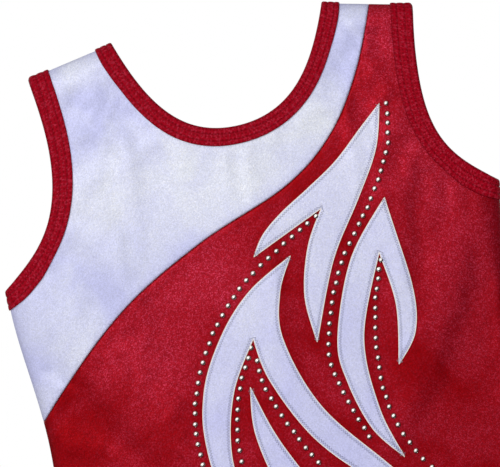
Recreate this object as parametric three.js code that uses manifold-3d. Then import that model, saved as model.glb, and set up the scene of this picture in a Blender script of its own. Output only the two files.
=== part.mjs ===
// A child's sleeveless gymnastics leotard: pale yoke, red body, folded bindings on five openings,
// flame appliques and rows of dome studs. It hangs upright and softly filled, front towards -Y.
// Millimetres, +Z up. The origin is the middle of the shoulder line, and wearer's right is -X.
// Outlines are drawn flat, as [x, z], and cut through thin nested shells of one soft form.
import * as THREE from 'three';
import { mergeVertices } from 'three/addons/utils/BufferGeometryUtils.js';
import Module from 'manifold-3d';

const wasm = await Module();
wasm.setup();
const { lerp, smoothstep, clamp } = THREE.MathUtils;

// ---- driving dimensions: the flat garment
const chestHalf = 146; // half width at the underarm
const waistHalf = 138;
const hipHalf = 149;
const bodyLength = 545; // shoulder line to crotch fold
const waistDrop = 222; // shoulder line to waist
const armDrop = 124; // shoulder line to underarm
const legDrop = 388; // shoulder line to the top of the leg opening
const crotchHalf = 34;
const neckHalf = 62; // half the neck opening at the shoulder
const neckDrop = 60.5;
const backNeckDrop = 118;
const strapWidth = 52;
const shoulderSlope = 0.21;

// ---- driving dimensions: how far the soft form is filled, and how it hangs
const sideRoll = 10; // radius of the side fold
const topRoll = 9; // radius of the shoulder and crotch folds
const shoulderDepth = 8;
const crownRise = 9; // extra depth at the middle of the body
const lean = -4; // the body hangs this far to the wearer's right of the neck
const leanDrops = [40, 160]; // from and to this far below the shoulder line
const tilt = 0.03; // and this much higher on the wearer's left

// ---- driving dimensions: cloth and trims
const clothThickness = 0.8;
const gap = 0.3; // between pieces that touch
const bindingWidth = 10.5; // at the neck and the legs
const armBindingWidth = 12.5;
const bindingCloth = 0.7;
const elasticWidth = 6;
const appliqueThickness = 0.6;
const liningDrop = 330; // shoulder line to the front lining's hem
const gussetLength = 90; // crotch fold up to the crotch lining's top
const allowance = 6; // seam allowances folded inside
const studDiameter = 3;
const studHeight = 1.3;
const labelSize = [24, 30];

// ---- layers, as offsets from the middle of the cloth, outwards
const skin = clothThickness / 2;
const onCloth = skin + gap;
const bindingOut = onCloth + bindingCloth;
const liningOut = -(bindingOut + gap + 0.1);
// The body that the join and the trims below are drawn on.
const drawnOn = { chestHalf: 146, strapMiddle: 88, bodyLength: 545 };

// ---- colours
const finishes = {
  red_foil_spandex: { color: 0x8e0b18, roughness: 0.42, metalness: 0.1 },
  pearl_foil_spandex: { color: 0xd9dcee, roughness: 0.38, metalness: 0.1 },
  red_binding: { color: 0x93131f, roughness: 0.5, metalness: 0.05 },
  pearl_applique: { color: 0xcbcee8, roughness: 0.4, metalness: 0.1 },
  bright_stud: { color: 0xc8c8cc, roughness: 0.25, metalness: 1 },
  clear_elastic: { color: 0xe8e4da, roughness: 0.6, metalness: 0 },
  lining_tricot: { color: 0xe9e4dc, roughness: 0.8, metalness: 0 },
  overlock_thread: { color: 0x7d1420, roughness: 0.9, metalness: 0 },
  label_satin: { color: 0xf2f2f0, roughness: 0.6, metalness: 0 },
};

// ==== the soft form: nested closed surfaces, one for each offset ====

function halfWidth(drop) {
  if (drop < waistDrop) return lerp(chestHalf, waistHalf, smoothstep(drop, armDrop, waistDrop));
  return lerp(waistHalf, hipHalf, smoothstep(drop, waistDrop, legDrop));
}

// Half the thickness of the form where its folds don't reach: thin at the shoulders and the crotch.
function formDepth(x, drop) {
  const inChest = smoothstep(drop, 0, armDrop);
  const inCrotch = smoothstep(drop, legDrop, bodyLength);
  const edge = lerp(lerp(shoulderDepth, sideRoll, inChest), shoulderDepth, inCrotch);
  const crown = crownRise * lerp(0.25, 1, inChest) * lerp(1, 0.2, inCrotch);
  const across = clamp(Math.abs(x) / (halfWidth(drop) - sideRoll), 0, 1);
  return edge + crown * (1 - across * across);
}

// The shoulder line slopes down outside the neck.
function shoulderLine(x) {
  return -shoulderSlope * clamp(Math.abs(x) - neckHalf, 0, strapWidth * 1.2);
}

// Places round one level, as the share of the flat middle and the angle round the side roll.
const rollSteps = 3;
const middleSteps = 8;
const frontPlaces = [
  ...Array.from({ length: rollSteps }, (_, i) => ({ side: -1, turn: (i / rollSteps) * 90 })),
  ...Array.from({ length: middleSteps + 1 }, (_, i) => ({ side: (2 * i) / middleSteps - 1, turn: 90 })),
  ...Array.from({ length: rollSteps }, (_, i) => ({ side: 1, turn: (1 - (i + 1) / rollSteps) * 90 })),
];
// Levels from the shoulder fold to the crotch fold: the angle round a fold, or the share between.
const foldSteps = 3;
const levelSteps = 14;
const levels = [
  ...Array.from({ length: foldSteps }, (_, i) => ({ share: 0, turn: (i / foldSteps) * 90 })),
  ...Array.from({ length: levelSteps + 1 }, (_, i) => ({ share: i / levelSteps, turn: 90 })),
  ...Array.from({ length: foldSteps }, (_, i) => ({ share: 1, turn: (1 - (i + 1) / foldSteps) * 90 })),
];

// A point of the form at an offset, on the front (face -1) or the back (face 1).
function formPoint(place, level, offset, face) {
  const around = THREE.MathUtils.degToRad(place.turn);
  const over = THREE.MathUtils.degToRad(level.turn);
  const middleDrop = lerp(topRoll, bodyLength - topRoll, level.share);
  const flatHalf = halfWidth(middleDrop) - sideRoll;
  const x = place.side * flatHalf + Math.sign(place.side) * (sideRoll + offset) * Math.cos(around);
  const bottom = topRoll - bodyLength;
  let z = lerp(shoulderLine(x) - topRoll, bottom, level.share);
  if (level.share === 0) z += (topRoll + offset) * Math.cos(over);
  if (level.share === 1) z -= (topRoll + offset) * Math.cos(over);
  const y = (formDepth(x, -z) + offset) * Math.sin(around) * Math.sin(over);
  return new THREE.Vector3(x, face * Math.max(y, 0), z);
}

function solidOf(geometry) {
  geometry.deleteAttribute('normal');
  geometry.deleteAttribute('uv');
  const merged = mergeVertices(geometry, 1e-4);
  return new wasm.Manifold(new wasm.Mesh({
    numProp: 3,
    vertProperties: merged.getAttribute('position').array,
    triVerts: Uint32Array.from(merged.index.array),
  }));
}

const forms = new Map();
function form(offset) {
  const key = offset.toFixed(4);
  if (!forms.has(key)) forms.set(key, makeForm(offset));
  return forms.get(key);
}

function makeForm(offset) {
  const backPlaces = frontPlaces.slice(1, -1).reverse();
  const ring = [...frontPlaces.map((place) => [place, -1]), ...backPlaces.map((place) => [place, 1])];
  const points = levels.flatMap(
    (level) => ring.map(([place, face]) => formPoint(place, level, offset, face)),
  );
  const index = [];
  for (let row = 0; row + 1 < levels.length; row += 1) {
    for (let i = 0; i < ring.length; i += 1) {
      const next = (i + 1) % ring.length;
      const [a, b] = [row * ring.length + i, row * ring.length + next];
      const [c, d] = [a + ring.length, b + ring.length];
      index.push(a, c, b, b, c, d);
    }
  }
  // On a fold's crest the front and back points are one, so triangles with no area are left out.
  const flat = (i) => points[i].toArray().map((v) => v.toFixed(3)).join();
  const faces = [];
  for (let i = 0; i < index.length; i += 3) {
    const corners = index.slice(i, i + 3);
    if (new Set(corners.map(flat)).size === 3) faces.push(...corners);
  }
  const geometry = new THREE.BufferGeometry().setFromPoints(points);
  geometry.setIndex(faces);
  return solidOf(geometry);
}

const layer = (low, high) => form(high).subtract(form(low));

// ==== flat outlines ====

const farOut = 60; // past the form in every direction
const curveSteps = 8;

// A line of [x, z] points moved sideways, to the right of its direction of travel.
function moved(line, by) {
  return line.map((point, i) => {
    const before = line[Math.max(i - 1, 0)];
    const after = line[Math.min(i + 1, line.length - 1)];
    const along = new THREE.Vector2().subVectors(after, before).normalize();
    return new THREE.Vector2(point.x + along.y * by, point.y - along.x * by);
  });
}

const mirrored = (line) => line.map((p) => new THREE.Vector2(-p.x, p.y)).reverse();

function prism(outline, low = -farOut, high = farOut) {
  const geometry = new THREE.ExtrudeGeometry(new THREE.Shape(outline), {
    depth: high - low,
    bevelEnabled: false,
    steps: 1,
  });
  geometry.rotateX(Math.PI / 2);
  geometry.translate(0, high, 0);
  return solidOf(geometry);
}

// Left shoulder, down round the neck and up to the right shoulder.
function neckLine(drop, reach, nearShoulder) {
  const right = new THREE.Path()
    .moveTo(0, -drop)
    .bezierCurveTo(reach * neckHalf, -drop, neckHalf + nearShoulder[0], nearShoulder[1], neckHalf, 0)
    .lineTo(neckHalf - nearShoulder[0], farOut)
    .getPoints(curveSteps);
  return [...mirrored(right), ...right.slice(1)];
}
const frontNeck = neckLine(neckDrop, 0.59, [-11, -neckDrop / 2]);
const backNeck = neckLine(backNeckDrop, 1, [9, -backNeckDrop / 4]);

// From the left shoulder down to the underarm: the wearer's left arm opening.
const strapOuter = neckHalf + strapWidth;
const armLine = new THREE.Path()
  .moveTo(strapOuter, farOut)
  .lineTo(strapOuter, shoulderLine(strapOuter))
  .bezierCurveTo(strapOuter - 14, -armDrop * 0.72, strapOuter + 7, -armDrop * 0.84, chestHalf, -armDrop)
  .lineTo(chestHalf + farOut, -armDrop)
  .getPoints(curveSteps);

// From the hip down to the crotch: the wearer's left leg opening. The back covers more.
const legLine = (hipReach, crotchRise) => new THREE.Path()
  .moveTo(hipHalf + farOut, -legDrop)
  .lineTo(hipHalf, -legDrop)
  .bezierCurveTo(hipReach, -legDrop, crotchHalf + 1, crotchRise - bodyLength, crotchHalf, -bodyLength)
  .lineTo(crotchHalf, -bodyLength - farOut)
  .getPoints(curveSteps);
const frontLeg = legLine(hipHalf * 0.66, 78);
const backLeg = legLine(hipHalf * 0.86, 52);

// The whole front or back, cut back from its openings by an inset.
function bodyOutline(neck, leg, inset) {
  const right = [...moved(armLine, inset), ...moved(leg, inset)];
  return [...moved(neck, inset), ...right, ...mirrored(right)];
}

const [frontHalf, backHalf] = [[-farOut, -gap / 2], [gap / 2, farOut]];
const frontBody = (inset, half = frontHalf) => prism(bodyOutline(frontNeck, frontLeg, inset), ...half);
const backBody = (inset) => prism(bodyOutline(backNeck, backLeg, inset), ...backHalf);

// Points drawn on the reference body, fitted to this one: to the straps above the underarm, and to
// the chest below it.
const strapMiddle = neckHalf + strapWidth / 2;
const art = (points) => points.map(([x, z]) => {
  const inBody = smoothstep(-z, 0, armDrop);
  const across = lerp(strapMiddle / drawnOn.strapMiddle, chestHalf / drawnOn.chestHalf, inBody);
  const down = lerp(1, bodyLength / drawnOn.bodyLength, inBody);
  return new THREE.Vector2(x * across, z * down);
});
const spline = (points, steps) => new THREE.SplineCurve(art(points)).getPoints(steps);

// The join of the yoke and the body: from the wearer's right side up to the left strap.
const joinPoints = [
  [-190, -262], [-138, -203], [-84, -153], [-32, -123], [23, -101], [53, -77], [74, -43], [89, -6],
];
const joinLine = [...spline(joinPoints, 24), new THREE.Vector2(strapMiddle + 16, farOut)];
const aboveJoin = (by) => prism([
  ...moved(joinLine, -by),
  new THREE.Vector2(-farOut * 4, farOut),
]);
const belowJoin = (by) => prism([
  ...moved(joinLine, by),
  new THREE.Vector2(farOut * 4, farOut),
  new THREE.Vector2(farOut * 4, -bodyLength - farOut),
  new THREE.Vector2(-farOut * 4, -bodyLength - farOut),
]);

// A rectangle from one corner to another, cut through the form between two depths.
const block = (x0, x1, z0, z1, low = -farOut, high = farOut) => prism([
  new THREE.Vector2(x0, z0),
  new THREE.Vector2(x1, z0),
  new THREE.Vector2(x1, z1),
  new THREE.Vector2(x0, z1),
], low, high);

// ==== assembling ====

const garment = new THREE.Group();

// Each vertex follows the way the body hangs, a little aside and askew of the neck.
function addPiece(name, finish, solid) {
  const mesh = solid.getMesh();
  const position = new THREE.BufferAttribute(mesh.vertProperties.slice(), 3);
  for (let i = 0; i < position.count; i += 1) {
    const [x, z] = [position.getX(i), position.getZ(i)];
    position.setX(i, x + lean * smoothstep(-z, ...leanDrops));
    position.setZ(i, z + tilt * x * smoothstep(-z, 0, armDrop));
  }
  const geometry = new THREE.BufferGeometry();
  geometry.setAttribute('position', position);
  geometry.setIndex(new THREE.BufferAttribute(mesh.triVerts, 1));
  geometry.computeVertexNormals();
  const piece = new THREE.Mesh(geometry, new THREE.MeshStandardMaterial(finishes[finish]));
  piece.name = name;
  garment.add(piece);
}

// ---- panels, whose edges stop short of the elastic inside the bindings
const elasticStart = bindingCloth + gap;
const panelInset = elasticStart + elasticWidth + gap;
const clearOfBinding = Math.max(bindingWidth, armBindingWidth) + gap;
const cloth = layer(-skin, skin);
const joinGap = gap / 2;
addPiece('front_yoke_panel', 'pearl_foil_spandex',
  cloth.intersect(frontBody(panelInset)).intersect(aboveJoin(joinGap)));
addPiece('front_body_panel', 'red_foil_spandex',
  cloth.intersect(frontBody(panelInset)).intersect(belowJoin(joinGap)));
addPiece('back_panel', 'red_foil_spandex', cloth.intersect(backBody(panelInset)));

// ---- linings, on the front only and clear of the seam allowances
const insideFront = [-farOut, -skin - gap * 2];
const lining = layer(liningOut - clothThickness, liningOut)
  .intersect(frontBody(clearOfBinding, insideFront));
addPiece('front_lining', 'lining_tricot',
  lining.intersect(block(-farOut * 4, farOut * 4, -liningDrop, farOut)));
addPiece('crotch_lining', 'lining_tricot',
  lining.intersect(block(-farOut * 4, farOut * 4, -bodyLength - farOut, gussetLength - bodyLength)));

// ---- bindings folded over each edge, with elastic inside the fold
const overlap = 0.01; // so the front and back halves of a loop join

function band(front, back, from, to) {
  const strip = (line) => [...moved(line, from), ...moved(line, to).reverse()];
  return prism(strip(front), -farOut, overlap).add(prism(strip(back), -overlap, farOut));
}

function addEdge(name, front, back, width) {
  const folded = layer(-bindingOut, bindingOut).intersect(band(front, back, 0, width));
  const slot = layer(-onCloth, onCloth).intersect(band(front, back, bindingCloth, width + 1));
  addPiece(`${name}_binding`, 'red_binding', folded.subtract(slot));
  addPiece(`${name}_elastic`, 'clear_elastic',
    cloth.intersect(band(front, back, elasticStart, elasticStart + elasticWidth)));
}

const rightArm = mirrored(armLine);
addEdge('neck', frontNeck, backNeck, bindingWidth);
addEdge('left_armhole', armLine, armLine, armBindingWidth);
addEdge('left_leg', frontLeg, backLeg, bindingWidth);
addEdge('right_armhole', rightArm, rightArm, armBindingWidth);
addEdge('right_leg', mirrored(frontLeg), mirrored(backLeg), bindingWidth);

// ---- seam allowances, standing inwards where front and back meet
const thinMiddle = [-skin, skin];
const seamStack = layer(-onCloth - allowance, -onCloth);
const fins = seamStack
  .intersect(prism(bodyOutline(frontNeck, frontLeg, clearOfBinding), ...thinMiddle))
  .intersect(prism(bodyOutline(backNeck, backLeg, clearOfBinding), ...thinMiddle));
const waistSide = waistHalf - 2 * sideRoll;
addPiece('left_side_seam', 'overlock_thread',
  fins.intersect(block(waistSide, farOut * 4, -bodyLength * 0.9, -armDrop)));
addPiece('right_side_seam', 'overlock_thread',
  fins.intersect(block(-farOut * 4, -waistSide, -bodyLength * 0.9, -armDrop)));
addPiece('left_shoulder_seam', 'overlock_thread',
  fins.intersect(block(neckHalf, strapOuter, -armDrop / 2, farOut)));
addPiece('right_shoulder_seam', 'overlock_thread',
  fins.intersect(block(-strapOuter, -neckHalf, -armDrop / 2, farOut)));
addPiece('crotch_seam', 'overlock_thread',
  fins.intersect(block(-crotchHalf, crotchHalf, -bodyLength - farOut, -bodyLength * 0.95)));

// ---- the yoke's join, with its allowance pressed flat behind the body
addPiece('yoke_seam', 'overlock_thread', layer(-onCloth - bindingCloth, -onCloth)
  .intersect(frontBody(clearOfBinding, insideFront))
  .intersect(belowJoin(0))
  .intersect(aboveJoin(-allowance)));

// ---- a blank care label below the back neck
const labelTop = -backNeckDrop - clearOfBinding;
addPiece('care_label', 'label_satin', layer(-bindingOut, -onCloth)
  .intersect(block(-labelSize[0] / 2, labelSize[0] / 2, labelTop - labelSize[1], labelTop, 0)));

// ---- dome studs in rows, each row joined into one ridge as wide and as high as its studs
const studRows = {
  stud_row_a: [[88, -66], [85, -91], [70, -121], [48, -152], [35, -185], [32, -212], [45, -253]],
  stud_row_b: [[71, -155], [63, -180], [59, -207], [60, -240], [73, -272], [102, -308]],
  stud_row_c: [[38, -122], [15, -135], [-14, -155], [-39, -186], [-53, -228], [-48, -275], [-44, -318]],
  stud_row_d: [[-12, -188], [-24, -212], [-30, -240], [-29, -268], [-35, -292]],
  stud_row_e: [[-10, -196], [-7, -217], [14, -262], [41, -292], [70, -330]],
};
const rowLine = (points) => spline(points, points.length * 3);
const rowBand = (points, half) => prism([
  ...moved(rowLine(points), -half),
  ...moved(rowLine(points), half).reverse(),
], ...frontHalf);
const trimmable = frontBody(clearOfBinding);
for (const [name, points] of Object.entries(studRows)) {
  addPiece(name, 'bright_stud', layer(onCloth, onCloth + studHeight)
    .intersect(rowBand(points, studDiameter / 2))
    .intersect(trimmable));
}

// ---- flame appliques: strokes from tip to tip, each through a few points
const flames = {
  flame_tall: [
    [[84, -65], [71, -77], [54, -93], [36, -105], [18, -116], [6, -126], [-1, -137]],
    [[-1, -137], [17, -129], [42, -118]],
    [[42, -118], [31, -138], [24, -166], [26, -193]],
    [[26, -193], [44, -149], [64, -117], [78, -91], [84, -65]],
  ],
  flame_right: [
    [[79, -120], [54, -151], [38, -194], [39, -220], [48, -249], [63, -269]],
    [[63, -269], [54, -238], [53, -196], [71, -150]],
    [[71, -150], [75, -182], [70, -216]],
    [[70, -216], [83, -199], [86, -171], [79, -120]],
  ],
  flame_left: [
    [[20, -141], [-7, -156], [-28, -178], [-44, -208], [-48, -245], [-38, -316]],
    [[-38, -316], [-32, -284], [-35, -246], [-27, -211], [-10, -183]],
    [[-10, -183], [-5, -209], [14, -247], [45, -281], [104, -338]],
    [[104, -338], [57, -276], [22, -231], [7, -188], [10, -161], [20, -141]],
  ],
  flame_inner: [
    [[-17, -210], [-19, -238], [-10, -277], [8, -325], [64, -392]],
    [[64, -392], [38, -332], [12, -281], [-7, -242], [-17, -210]],
  ],
};
const flameOutline = (strokes) => strokes.flatMap((points) => spline(points, points.length * 3).slice(1));
const rowRoom = Object.values(studRows)
  .map((points) => rowBand(points, studDiameter / 2 + gap))
  .reduce((sum, room) => sum.add(room));
for (const [name, strokes] of Object.entries(flames)) {
  addPiece(name, 'pearl_applique', layer(onCloth, onCloth + appliqueThickness)
    .intersect(prism(flameOutline(strokes), ...frontHalf))
    .intersect(trimmable)
    .subtract(rowRoom));
}

export default garment;
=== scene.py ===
# %% [markdown]
# A child's gymnastics leotard, cut and sewn in Blender
#
# The real garment is a few flat pieces of foil-printed knit, cut to curved outlines and joined by
# stretchy seams. So the script works as a maker does. It draws each outline flat, in millimetres,
# cuts the cloth along it, lays the cloth on one soft form, and then sews on the bindings, the
# flames and the studs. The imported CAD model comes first, because it fixes the place and the size.

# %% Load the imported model
import math

import bmesh
import bpy
import numpy as np
from mathutils import Matrix, Vector
from mathutils.geometry import interpolate_bezier
from mathutils.kdtree import KDTree


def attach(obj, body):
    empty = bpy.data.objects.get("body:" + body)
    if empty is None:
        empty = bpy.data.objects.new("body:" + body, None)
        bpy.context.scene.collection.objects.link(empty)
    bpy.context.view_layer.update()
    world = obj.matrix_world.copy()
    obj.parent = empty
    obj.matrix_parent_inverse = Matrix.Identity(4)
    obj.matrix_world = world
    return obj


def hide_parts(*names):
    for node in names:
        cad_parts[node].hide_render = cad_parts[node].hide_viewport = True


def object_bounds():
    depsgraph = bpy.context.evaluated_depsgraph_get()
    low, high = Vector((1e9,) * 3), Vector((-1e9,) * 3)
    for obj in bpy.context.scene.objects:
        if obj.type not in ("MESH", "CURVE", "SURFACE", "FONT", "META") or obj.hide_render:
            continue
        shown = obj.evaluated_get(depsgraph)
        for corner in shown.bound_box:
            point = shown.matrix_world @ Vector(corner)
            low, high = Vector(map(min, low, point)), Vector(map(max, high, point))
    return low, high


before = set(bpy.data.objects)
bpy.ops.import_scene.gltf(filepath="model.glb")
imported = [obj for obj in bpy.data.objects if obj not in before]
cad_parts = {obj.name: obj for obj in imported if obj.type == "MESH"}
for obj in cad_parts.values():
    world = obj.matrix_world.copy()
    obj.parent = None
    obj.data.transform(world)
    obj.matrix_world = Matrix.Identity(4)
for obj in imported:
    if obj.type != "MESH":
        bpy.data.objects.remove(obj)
cad_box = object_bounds()
MM = 0.001
print("CAD box in mm:", [[round(v / MM, 1) for v in corner] for corner in cad_box])

# %% [markdown]
# The camera and the light
#
# The garment is seen square on from the front, turned a little in the picture, through a long lens
# that keeps its outline true. A big soft light at the upper left gives the foil its broad sheen, a
# weaker one fills from the right, and two more light the back. The background is plain white for
# the camera. The light it sends comes mostly from the upper left, and the rest of the room is dark,
# so a bright stud mirrors both. Its dark edge comes from that and from painted shade on its rim.

# %% Camera
VIEW_WIDTH = 290.0  # mm across the picture at the garment
VIEW_MIDDLE = (-4.2, -10.0, -123.3)  # mm
VIEW_TURN = math.radians(11)
VIEW_DISTANCE = 2200.0  # mm
FAR_END = 50.0  # metres

camera_data = bpy.data.cameras.new("camera")
camera_data.sensor_width = 36.0
camera_data.lens = camera_data.sensor_width * VIEW_DISTANCE / VIEW_WIDTH
camera_data.clip_end = FAR_END
camera = bpy.data.objects.new("camera", camera_data)
bpy.context.scene.collection.objects.link(camera)
right = Vector((math.cos(VIEW_TURN), 0, -math.sin(VIEW_TURN)))
up = Vector((math.sin(VIEW_TURN), 0, math.cos(VIEW_TURN)))
turn = Matrix((right, up, right.cross(up))).transposed().to_4x4()
place = Vector(VIEW_MIDDLE) - Vector((0, VIEW_DISTANCE, 0))
camera.matrix_world = Matrix.Translation(place * MM) @ turn
bpy.context.scene.camera = camera
bpy.context.scene.view_settings.view_transform = "Standard"
print("lens", round(camera_data.lens, 1), "mm")

# %% Small functions for colours, nodes and finishes
def linear(code):
    """An sRGB hex colour as linear red, green, blue and an alpha of 1."""
    parts = [int(code[i:i + 2], 16) / 255 for i in (1, 3, 5)]
    return [v / 12.92 if v <= 0.04045 else ((v + 0.055) / 1.055) ** 2.4 for v in parts] + [1.0]


def add(tree, kind, links=None, **settings):
    """A new node of a kind, with its settings, and a value or another node's output on each input."""
    made = tree.nodes.new(kind)
    for name, value in settings.items():
        setattr(made, name, value)
    for name, value in (links or {}).items():
        if isinstance(value, bpy.types.NodeSocket):
            tree.links.new(value, made.inputs[name])
        else:
            made.inputs[name].default_value = value
    return made


def new_finish(name):
    """A new material, its node tree and its main shader."""
    made = bpy.data.materials.new(name)
    made.use_nodes = True
    return made, made.node_tree, made.node_tree.nodes["Principled BSDF"]


# %% Floor, background and lights
FLOOR_DROP = 12.0  # mm below the crotch
FLOOR_HALF = 4.0  # metres
BRIGHT_WAY = (-0.45, -0.65, 0.61)  # the room is brightest here, at the upper left in front
ROOM_DARK, ROOM_BRIGHT = 0.02, 0.56  # the light it sends, where plain white is 1
MIRRORED_MORE = 1.7  # times as bright where a glossy surface mirrors it
CHEST = (0, 0, -0.2)  # metres
world = bpy.data.worlds.new("white_room")
bpy.context.scene.world = world
world.use_nodes = True
room = world.node_tree
room.nodes.clear()
path = add(room, "ShaderNodeLightPath")
seen = add(room, "ShaderNodeBackground", {"Color": linear("#ffffff"), "Strength": 1.0})
way = add(room, "ShaderNodeTexCoord")
side = add(room, "ShaderNodeVectorMath", {0: way.outputs["Generated"], 1: BRIGHT_WAY},
           operation="DOT_PRODUCT")
shade = add(room, "ShaderNodeMapRange", {0: side.outputs["Value"], 1: 0.0, 2: 0.5,
                                         3: ROOM_DARK, 4: ROOM_BRIGHT}, interpolation_type="SMOOTHSTEP")
mirrored_more = add(room, "ShaderNodeMapRange", {0: path.outputs["Is Glossy Ray"],
                                                 3: 1.0, 4: MIRRORED_MORE})
strength = add(room, "ShaderNodeMath", {0: shade.outputs[0], 1: mirrored_more.outputs[0]},
               operation="MULTIPLY")
sent = add(room, "ShaderNodeBackground", {"Color": linear("#fffdfa"), "Strength": strength.outputs[0]})
both = add(room, "ShaderNodeMixShader", {0: path.outputs["Is Camera Ray"],
                                         1: sent.outputs[0], 2: seen.outputs[0]})
add(room, "ShaderNodeOutputWorld", {"Surface": both.outputs[0]})

paint, _, surface = new_finish("floor_matt_white_paint")
surface.inputs["Base Color"].default_value = linear("#f2f1ef")
surface.inputs["Roughness"].default_value = 0.9
low = (cad_box[0][2] / MM - FLOOR_DROP) * MM
bm = bmesh.new()
bmesh.ops.create_grid(bm, x_segments=1, y_segments=1, size=FLOOR_HALF,
                      matrix=Matrix.Translation((0, 0, low)))
floor_mesh = bpy.data.meshes.new("floor")
bm.to_mesh(floor_mesh)
bm.free()
floor = bpy.data.objects.new("floor", floor_mesh)
floor_mesh.materials.append(paint)
bpy.context.scene.collection.objects.link(floor)
floor.visible_glossy = False  # so that the studs mirror the dark side of the room


def soft_light(name, at, size, watts, colour, mirrored_in_metal=True):
    """A square area light at a place in metres, turned towards the chest."""
    data = bpy.data.lights.new(name, "AREA")
    data.size = size
    data.energy = watts
    data.color = linear(colour)[:3]
    lamp = bpy.data.objects.new(name, data)
    aim = Vector(CHEST) - Vector(at)
    lamp.matrix_world = Matrix.Translation(at) @ aim.to_track_quat("-Z", "Y").to_matrix().to_4x4()
    lamp.visible_glossy = mirrored_in_metal
    bpy.context.scene.collection.objects.link(lamp)


soft_light("key", (-0.6, -1.8, 0.7), 0.9, 17.5, "#fffcf8")
soft_light("fill", (1.0, -1.9, -0.2), 1.4, 7, "#fdfdff", mirrored_in_metal=False)
soft_light("back_left", (-0.9, 2.0, 0.5), 1.2, 10, "#ffffff")
soft_light("back_right", (1.3, 1.8, 0.4), 1.2, 9, "#ffffff")
print("floor at", round(low / MM, 1), "mm")

# %% [markdown]
# The finishes
#
# Both cloths are spandex knit with a thin printed foil. The foil breaks into tiny dots as the knit
# stretches, so it has a satin gloss with a fine glitter, whose glints are painted highlights. It
# looks frosted where it lies loose and deep where a seam pulls it tight, and the same two colours
# also carry painted sheen and painted shade. The bindings, linings, threads and label are matt
# knits and yarns, and the studs are plated brass. Real dots and ribs are finer than the picture
# can show, so the dots are drawn about half a millimetre apart and the ribs about a millimetre
# wide. They could be pictures of cloth, but dots and ribs worked out by the shader stay sharp at
# any size. A pattern on cloth reads the cloth's own flat map, in metres, so that it follows the
# cloth round the body.

# %% Foil-printed cloth
FOIL_PATCH = 0.03  # metres from one loose patch to the next
FOIL_DOT = 0.00055
FOIL_GRAIN = 0.0011


def cloth_finish(name):
    """A new finish for cloth or thread, with the flat map that its patterns read."""
    made, tree, shader = new_finish(name)
    return made, tree, shader, add(tree, "ShaderNodeUVMap", uv_map="cloth").outputs["UV"]


def foil_knit(name, deep_and_shaded, frosted_and_lit, glint, metallic, contrast):
    """Foil-printed spandex: deep where tight, frosted where loose, with painted sheen, shade and glints.
    """
    made, tree, shader, flat = cloth_finish(name)
    broad = add(tree, "ShaderNodeTexNoise", {"Vector": flat, "Scale": 1 / FOIL_PATCH, "Detail": 3.0,
                                             "Roughness": 0.5, "Distortion": 0.6})
    patchy = add(tree, "ShaderNodeMapRange", {0: broad.outputs["Fac"], 1: 0.3, 2: 0.7,
                                              3: -0.22, 4: 0.22})
    # This mark is partly how loose the foil lies and partly painted sheen and painted shade.
    loose_and_sheen = add(tree, "ShaderNodeAttribute", attribute_name="loose_and_sheen")
    both = add(tree, "ShaderNodeMath", {0: loose_and_sheen.outputs["Fac"], 1: patchy.outputs[0]})
    frost_and_sheen = add(tree, "ShaderNodeMapRange", {0: both.outputs[0], 1: 0.1, 2: 0.9, 3: 0.0, 4: 1.0})
    base = add(tree, "ShaderNodeMix", {"Factor": frost_and_sheen.outputs[0], "A": linear(deep_and_shaded),
                                       "B": linear(frosted_and_lit)}, data_type="RGBA")
    dots = add(tree, "ShaderNodeTexVoronoi", {"Vector": flat, "Scale": 1 / FOIL_DOT}, feature="F1")
    spread = add(tree, "ShaderNodeSeparateColor", {0: dots.outputs["Color"]})
    # Painted glints: the brightest dots are mixed towards a light colour, most where sheen is painted.
    glinting = add(tree, "ShaderNodeMapRange", {0: spread.outputs[0], 1: 0.6, 2: 1.0,
                                                3: 0.0, 4: contrast})
    lively = add(tree, "ShaderNodeMapRange", {0: frost_and_sheen.outputs[0], 3: 0.1, 4: 1.0})
    amount = add(tree, "ShaderNodeMath", {0: glinting.outputs[0], 1: lively.outputs[0]},
                 operation="MULTIPLY")
    lit = add(tree, "ShaderNodeMix", {"Factor": amount.outputs[0], "A": base.outputs["Result"],
                                      "B": linear(glint)}, data_type="RGBA")
    dimmed = add(tree, "ShaderNodeMapRange", {0: spread.outputs[1], 3: 1.0 - 0.4 * contrast,
                                              4: 1.0 + 0.15 * contrast})
    varied = add(tree, "ShaderNodeHueSaturation", {"Value": dimmed.outputs[0],
                                                   "Color": lit.outputs["Result"]})
    tree.links.new(varied.outputs[0], shader.inputs["Base Color"])
    shader.inputs["Roughness"].default_value = 0.46
    shader.inputs["Metallic"].default_value = metallic
    shader.inputs["Specular IOR Level"].default_value = 0.05
    grain = add(tree, "ShaderNodeTexNoise", {"Vector": flat, "Scale": 1 / FOIL_GRAIN, "Detail": 1.0})
    relief = add(tree, "ShaderNodeBump", {"Height": grain.outputs["Fac"], "Strength": 0.3,
                                          "Distance": 0.0002})
    tree.links.new(relief.outputs[0], shader.inputs["Normal"])
    return made


# Wine red with a satin gloss and rosy glints, pale lilac white with a soft sheen, and the same pale
# cloth again, but plainer, because it is stiffened. In each, the deep colour also serves as painted
# shade and the frosted one as painted sheen.
red_foil = foil_knit("red_foil_spandex", "#8e0009", "#a31426", "#d84466", 0.4, 0.7)
pearl_foil = foil_knit("pearl_foil_spandex", "#c3c7f0", "#dce1f1", "#ffffff", 0.1, 0.4)
pearl_flame = foil_knit("pearl_applique", "#c5c8f2", "#d5d9f3", "#ffffff", 0.1, 0.35)
print("foils:", red_foil.name, pearl_foil.name, pearl_flame.name)

# %% Matt knits and threads
WAVE = 6.283  # divides a wave texture's scale, so that a rib and a groove are each about a rib wide
FLECK = 0.0006  # metres


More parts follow.
